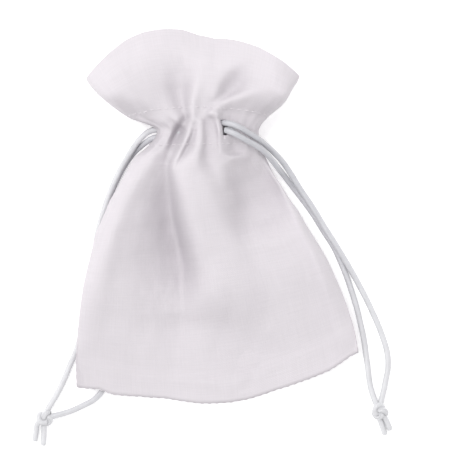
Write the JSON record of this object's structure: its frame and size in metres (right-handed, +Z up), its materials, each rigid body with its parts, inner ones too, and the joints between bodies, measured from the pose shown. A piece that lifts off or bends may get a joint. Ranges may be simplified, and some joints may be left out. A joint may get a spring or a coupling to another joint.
{
  "type": "drawstring gift pouch",
  "caption": "Woven drawstring gift pouch lying on its back, neck gathered into a frill by two satin cords that run through a sewn casing and end in knots.",
  "frame": {"origin": "on the surface that the pouch lies on, under the middle of the pouch without its free cords", "axes": "+X to the right across the pouch, +Y from the bottom seam towards the frill, +Z up through the front panel"},
  "size_m": [0.1244, 0.1459, 0.0219],
  "materials": {
    "pouch_cloth": "matte",
    "facing_cloth": "matte",
    "seam_allowance": "matte",
    "sewing_thread": "satin",
    "satin_cord": "satin"
  },
  "bodies": {
    "pouch_back": {"back_panel": "pouch_cloth", "back_casing": "pouch_cloth", "back_frill": "pouch_cloth", "back_facing": "facing_cloth", "bottom_seam_allowance": "seam_allowance", "left_seam_allowance": "seam_allowance", "right_seam_allowance": "seam_allowance", "back_lower_casing_stitch": "sewing_thread", "back_upper_casing_stitch": "sewing_thread", "left_side_stitch": "sewing_thread", "right_side_stitch": "sewing_thread", "left_frill_stitch": "sewing_thread", "right_frill_stitch": "sewing_thread", "bottom_stitch": "sewing_thread", "left_exit_tack": "sewing_thread", "right_cord_loop": "satin_cord", "left_cord_loop": "satin_cord"},
    "pouch_front": {"front_panel": "pouch_cloth", "front_casing": "pouch_cloth", "right_neck_fold": "pouch_cloth", "front_frill": "pouch_cloth", "front_facing": "facing_cloth", "front_lower_casing_stitch": "sewing_thread", "front_upper_casing_stitch": "sewing_thread", "right_exit_tack": "sewing_thread"},
    "right_pull": {"right_cord_outer_strand": "satin_cord", "right_cord_inner_strand": "satin_cord", "right_knot": "satin_cord", "right_tail_long": "satin_cord", "right_tail_short": "satin_cord"},
    "left_pull": {"left_cord_outer_strand": "satin_cord", "left_cord_inner_strand": "satin_cord", "left_knot": "satin_cord", "left_tail_long": "satin_cord", "left_tail_short": "satin_cord"}
  },
  "joints": [
    {"name": "mouth_open", "type": "hinge", "parent": "pouch_back", "child": "pouch_front", "pos_m": [0, -0.0643, 0.0014], "axis": [1, 0, 0], "range_deg": [0, 15], "deforming": ["right_cord_loop", "left_cord_loop"]},
    {"name": "right_draw", "type": "slide", "parent": "pouch_back", "child": "right_pull", "axis": [0.04, 0.9992, 0], "range_m": [0, 0.0243], "deforming": ["right_cord_outer_strand", "right_cord_inner_strand"]},
    {"name": "left_draw", "type": "slide", "parent": "pouch_back", "child": "left_pull", "axis": [0.3498, 0.9368, 0], "range_m": [0, 0.0243], "deforming": ["left_cord_outer_strand", "left_cord_inner_strand"]}
  ],
  "couplings": [
    {"joint": "right_draw", "follows": "mouth_open", "m_per_rad": 0.0922},
    {"joint": "left_draw", "follows": "mouth_open", "m_per_rad": 0.0922}
  ]
}
